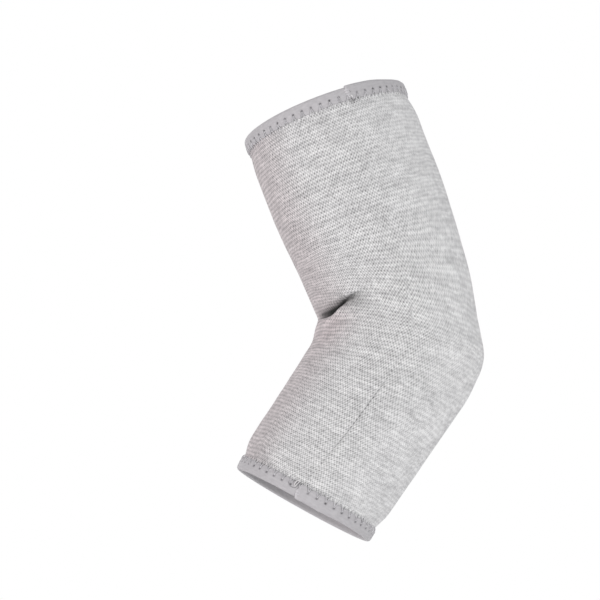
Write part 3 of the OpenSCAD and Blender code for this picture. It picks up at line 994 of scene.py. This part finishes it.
def toMouth(obj, arm, lift=0.0):
    # carries a ring made round Z at the origin to its mouth, and over the lapped end of the tape
    co = np.zeros(len(obj.data.vertices) * 3, np.float32)
    obj.data.vertices.foreach_get("co", co)
    x, y, z = co.reshape(-1, 3).astype(float).T
    offset = np.arctan2(y, x) % (2 * math.pi)
    onTape = softStep(z, -arm["grip"] - 0.001, -arm["grip"] + 0.0005)
    r = np.hypot(x, y) + lift * lapRise(arm, offset) * onTape
    points = mouthPoint(arm, r, arm["lap"] + offset, z)
    obj.data.vertices.foreach_set("co", points.astype(np.float32).ravel())
    if arm is foreArm:  # this one is mirrored on the way
        obj.data.flip_normals()
    obj.data.update()
    return obj


def stitchRow(name, arm, material, radius, start, slant, upright, lift=0.0):
    # slant and upright are the middle and the end of each leg
    values = threadValues(material)
    values.update({
        "Count": stitchCount(arm), "Ring Radius": radius, "Leg Start": start,
        "Slant Middle": slant[0], "Slant End": slant[1],
        "Upright Middle": upright[0], "Upright End": upright[1],
    })
    return toMouth(runTree(name, ringTree, values), arm, lift)


def edgeStitches(name, arm):
    surface = arm["inner"] + tape["surface"]
    inKnit = knitRadius(arm) - surface - thread["sink"]
    pitch = tape["stitchPitch"]
    top, foot = -tape["holeRow"], -stitch["foot"] / 1000
    middle = (top + foot) / 2 - thread["sink"]
    legs = [((thread["bow"], pitch * lean * 0.5, middle), (inKnit, pitch * lean, foot))
            for lean in (stitch["slant"], stitch["upright"])]
    start = (-thread["sink"], 0.0, top)
    return stitchRow(name, arm, threadMaterial, surface, start, *legs, tape["lapLift"])


def innerStitches(name, arm):
    # the same row's inside: an even zigzag over the tape's inner edge
    surface = arm["inner"] + tape["thickness"] + tape["slack"]
    half = tape["stitchPitch"] / 2
    top, foot = -arm["grip"] - 0.0003, -arm["grip"] - 0.0026
    legs = [((-0.0006, lean * 0.5, (top + foot) / 2), (0.0001, lean, foot)) for lean in (half, -half)]
    return stitchRow(name, arm, paleThread, surface, (-0.00025, 0.0, top), *legs)


upperEdge = edgeStitches("upper_edge_threads", upperArm)
lowerEdge = edgeStitches("lower_edge_threads", foreArm)
upperInner = innerStitches("upper_inner_threads", upperArm)
lowerInner = innerStitches("lower_inner_threads", foreArm)
print("edge stitches:", len(upperEdge.data.polygons) + len(lowerEdge.data.polygons), "faces")


# the thread that closes each lap, with its tail or knot

def threadAlong(points, radius, sides=8, steps=5):
    # a round thread through the points given, closed at both ends
    path = np.array(points, float)
    steps = np.linspace(0, len(path) - 1, (len(path) - 1) * steps + 1)
    keys = np.arange(len(path))
    path = np.stack([smoothLine(list(zip(keys, path[:, i])), steps) for i in range(3)], axis=1)
    tangent = np.gradient(path, axis=0)
    tangent /= np.linalg.norm(tangent, axis=1, keepdims=True)
    normal = np.cross(tangent[0], (0.3, 0.5, 0.8))
    verts = []
    for p, d in zip(path, tangent):
        normal = normal - d * (normal @ d)
        normal /= np.linalg.norm(normal)
        other = np.cross(d, normal)
        for s in range(sides):
            a = 2 * math.pi * s / sides
            verts.append(p + radius * (math.cos(a) * normal + math.sin(a) * other))
    return verts, tubeFaces(len(path), sides)


def lapThreads(name, arm, threads):
    # each thread is a material and points as (mm past the lap, mm down from the mouth, mm off the tape)
    verts, faces, kinds = [], [], []
    surface = arm["inner"] + tape["surface"] + tape["lapLift"]
    for kind, radius, points in threads:
        spots = np.array(points) / 1000
        path = mouthPoint(arm, surface + spots[:, 2], arm["lap"] + spots[:, 0] / surface, -spots[:, 1])
        v, f = threadAlong(path, radius / 1000)
        faces += [tuple(i + len(verts) for i in face) for face in f]
        verts += v
        kinds += [kind] * len(f)
    obj = meshPiece(name, verts, faces)
    for material in (threadMaterial, darkThread, paleThread):
        obj.data.materials.append(material)
    obj.data.polygons.foreach_set("material_index", np.array(kinds, np.int32))
    return obj


def tackRows(rows, reach):
    # short stitches straight over the lap
    return [(0, 0.22, [(-1.1, z, -0.45), (-0.2, z + 0.1, 0.15), (0.7, z + 0.15, 0.22),
                       (reach, z + 0.1, -0.25)]) for z in rows]


# 0 is the sewing thread, 1 the dark one, 2 the pale one; then the radius in mm, then the points
upperLapThreads = tackRows((1.8, 3.2, 4.6), 1.6) + [
    (2, 0.40, [(1.4, 5.5, -0.30), (1.7, 5.8, 0.30), (1.9, 6.2, 0.30), (2.0, 6.6, -0.30)]),  # knot
    (1, 0.19, [(1.0, 6.8, -0.30), (1.3, 7.7, 0.25), (1.7, 9.0, 0.20), (2.1, 10.2, -0.35)]),  # its tail
    (1, 0.16, [(1.5, 2.4, -0.25), (1.7, 3.4, 0.16), (1.8, 4.6, -0.25)]),
]
lowerLapThreads = tackRows((1.6, 2.9), 1.5) + [
    (2, 0.30, [(-3.0, 4.7, -0.4), (-3.3, 6.0, 0.45), (-2.9, 7.8, 0.45), (-2.0, 8.6, 0.30),
               (-1.7, 7.7, 0.40), (-2.2, 5.8, 0.40), (-2.6, 4.6, -0.4)]),  # loop
    (1, 0.09, [(-7.6, 5.6, -0.4), (-5.6, 4.2, 0.12), (-3.9, 3.6, 0.16), (-2.0, 4.2, 0.16),
               (-1.2, 6.4, 0.16), (-0.9, 8.5, -0.6)]),  # thin end round it
    (1, 0.15, [(-2.6, 5.4, 0.05), (-2.5, 6.6, 0.10), (-2.2, 7.9, 0.05)]),
]
upperTack = lapThreads("upper_lap_threads", upperArm, upperLapThreads)
lowerTack = lapThreads("lower_lap_threads", foreArm, lowerLapThreads)
print("lap threads made")


# the seam allowance inside, and the overlock thread over it

def insidePoint(angle, t, depth):
    # a point under the outside of the sleeve, measured straight in from it
    p = sleevePoint(angle, t)
    normal = np.cross(sleevePoint(angle + nudge, t) - p, sleevePoint(angle, t + nudge) - p)
    normal /= np.linalg.norm(normal, axis=-1, keepdims=True)
    return p - normal * depth[..., None], normal


def makeAllowance():
    t = np.linspace(sleeve["plainEnd"] - foreArm["reach"], upperArm["reach"] - sleeve["plainEnd"], 150)
    width, thick, wall = seam["allowanceWidth"], seam["allowanceThickness"], sleeve["thickness"]
    top = wall + thick
    # section as (distance past the seam, depth under the outside), rounded at the free edge
    section = np.array([(0.0002, wall - 0.0002), (width * 0.5, wall - 0.0002), (width * 0.92, wall - 0.0001),
                        (width, wall + thick * 0.3), (width, wall + thick * 0.75), (width * 0.9, top),
                        (width * 0.5, top + 0.0001), (width * 0.12, top), (0.0, wall + thick * 0.6)])
    angle = seamAngle(t)[:, None] + section[None, :, 0] / seam["radius"]
    wave = seam["ripple"] * np.sin(t * 2 * math.pi / seam["threadPitch"])[:, None]
    depth = section[None, :, 1] + wave * (section[None, :, 0] / width)
    points = insidePoint(angle, np.broadcast_to(t[:, None], angle.shape), depth)[0]
    n = len(section)
    obj = meshPiece("seam_allowance", points.reshape(-1, 3), tubeFaces(len(t), n))
    corners = cornerIndices(obj.data)[0]
    cloth = [section[corners % n, 0] / sleeve["waleWidth"], t[corners // n] / sleeve["courseHeight"]]
    addCoordinates(obj.data, "stitches", np.stack(cloth, axis=1))
    addCoordinates(obj.data, "edge", np.full((len(corners), 2), 50))  # far from the mouths' stitches
    for name, level in (("gapShade", 0.25), ("paintedShade", 0.0), ("seamShade", 0.0), ("paintedWarmShade", 0.0)):
        floatAttribute(obj.data, name, np.full(len(obj.data.vertices), level))
    obj.data.materials.append(knitMaterial)
    return obj


def makeSeamThreads():
    t = np.linspace(0.012 - foreArm["reach"], upperArm["reach"] - 0.012, 240)
    half = seam["allowanceWidth"] / 2
    depth = np.full_like(t, sleeve["thickness"] + seam["allowanceThickness"] + 0.0002)
    points, normal = insidePoint(seamAngle(t) + half / seam["radius"], t, depth)
    path = bpy.data.meshes.new("seamPath")
    path.from_pydata([tuple(p) for p in points], [(i, i + 1) for i in range(len(t) - 1)], [])
    standing = path.attributes.new("standing", "FLOAT_VECTOR", "POINT")
    standing.data.foreach_set("vector", (-normal).astype(np.float32).ravel())
    pitch = seam["threadPitch"]
    values = threadValues(paleThread)
    values.update({
        "Pitch": pitch,
        "Loop Start": (0.0, -half * 0.95, 0.0), "Loop Middle": (pitch * 0.15, 0.0, 0.00035),
        "Loop End": (pitch * 0.5, half * 0.98, 0.0),
        "Return Middle": (pitch * 0.85, half, 0.0002), "Return End": (pitch, half * 0.9, 0.0),
    })
    return runTree("seam_threads", seamTree, values, path)


allowance = makeAllowance()
seamThreads = makeSeamThreads()
print("seam:", len(seamThreads.data.polygons), "faces of thread")


# which body each piece moves with

blendReach = 0.062            # this far from the hinge on each side, as the bend line's length; nothing in this script turns the cloth with it
bendLine = upperArm["along"] - foreArm["along"]
bendLine *= blendReach / np.linalg.norm(bendLine)

for piece in (knit, allowance, seamThreads):
    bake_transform(piece)
for piece in (upperTape, upperEdge, upperInner, upperTack):
    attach(piece, "upper_arm")
for piece in (lowerTape, lowerEdge, lowerInner, lowerTack):
    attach(piece, "forearm")

standsFor = (
    (knit, "upper_knit", "elbow_knit", "forearm_knit"),
    (upperTape, "upper_binding_tape"),
    (lowerTape, "lower_binding_tape"),
    (upperEdge, "upper_edge_stitches"),
    (lowerEdge, "lower_edge_stitches"),
    (upperInner, "upper_inner_stitches"),
    (lowerInner, "lower_inner_stitches"),
    (upperTack, "upper_lap_tack"),
    (lowerTack, "lower_lap_tack"),
    (seamThreads, "upper_seam_stitches", "elbow_seam_stitches", "forearm_seam_stitches"),
)
for piece, *nodes in standsFor:
    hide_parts(*nodes)

print("pieces placed on bodies")


# floor, light and camera

studio = {
    "floorBelow": 0.62,
    "floorSize": 12.0,
    "floorColour": (0.96, 0.96, 0.96, 1),
    "floorRoughness": 0.9,
    "skyColour": (0.98, 0.985, 1.0, 1),
    "skyStrength": 0.54,
    # name, place, what it is aimed at, size in metres, watts, colour
    "lights": [
        ("key", (1.1, -1.7, -0.05), (0, 0, -0.02), 0.9, 11.4, (1, 1, 1)),
        ("back_rim", (-0.6, 1.4, 0.9), (0, 0, 0), 1.2, 6, (1, 1, 1)),
        ("warm_side", (-1.5, -0.9, -0.05), (0, 0, -0.02), 0.9, 8.8, (1.0, 0.945, 0.95)),
    ],
    "cameraDistance": 1.835,
    "lens": 200.0,
    "aim": (-0.0448, 0.0, 0.0182),
    "elevation": -7.0,
}


def makeFloor():
    size = studio["floorSize"]
    z = -studio["floorBelow"]
    floor = meshPiece("floor", [(-size, -size, z), (size, -size, z), (size, size, z), (-size, size, z)],
                      [(0, 1, 2, 3)], smooth=False)
    material, shader = newMaterial("floor_paper")[::2]
    shader.inputs["Base Color"].default_value = studio["floorColour"]
    shader.inputs["Roughness"].default_value = studio["floorRoughness"]
    floor.data.materials.append(material)


def makeSky():
    # soft light from all round, seen as plain white behind the object
    world = bpy.data.worlds.new("studio")
    bpy.context.scene.world = world
    world.use_nodes = True
    tree = world.node_tree
    lit = tree.nodes["Background"]
    lit.inputs["Color"].default_value = studio["skyColour"]
    lit.inputs["Strength"].default_value = studio["skyStrength"]
    seen = addNode(tree, "ShaderNodeBackground", (("Color", (1, 1, 1, 1)), ("Strength", 1.0)))
    ray = addNode(tree, "ShaderNodeLightPath")
    mix = addNode(tree, "ShaderNodeMixShader", ((0, ray.outputs["Is Camera Ray"]), (1, lit), (2, seen)))
    tree.links.new(mix.outputs[0], tree.nodes["World Output"].inputs["Surface"])


def aimed(name, data, place, aim):
    obj = bpy.data.objects.new(name, data)
    obj.location = place
    obj.rotation_euler = (Vector(aim) - Vector(place)).to_track_quat("-Z", "Y").to_euler()
    bpy.context.scene.collection.objects.link(obj)
    return obj


def softLight(name, place, aim, size, watts, colour):
    light = bpy.data.lights.new(name, "AREA")
    light.shape = "SQUARE"
    light.size = size
    light.energy = watts
    light.color = colour
    aimed(name, light, place, aim)


def makeCamera():
    camera = bpy.data.cameras.new("camera")
    camera.lens = studio["lens"]
    camera.clip_end = 50
    angle = math.radians(studio["elevation"])
    back = Vector((0, -math.cos(angle), math.sin(angle))) * studio["cameraDistance"]
    place = Vector(studio["aim"]) + back
    bpy.context.scene.camera = aimed("camera", camera, place, studio["aim"])


makeFloor()
makeSky()
for light in studio["lights"]:
    softLight(*light)
makeCamera()
bpy.context.scene.view_settings.view_transform = "Standard"
print("studio made")
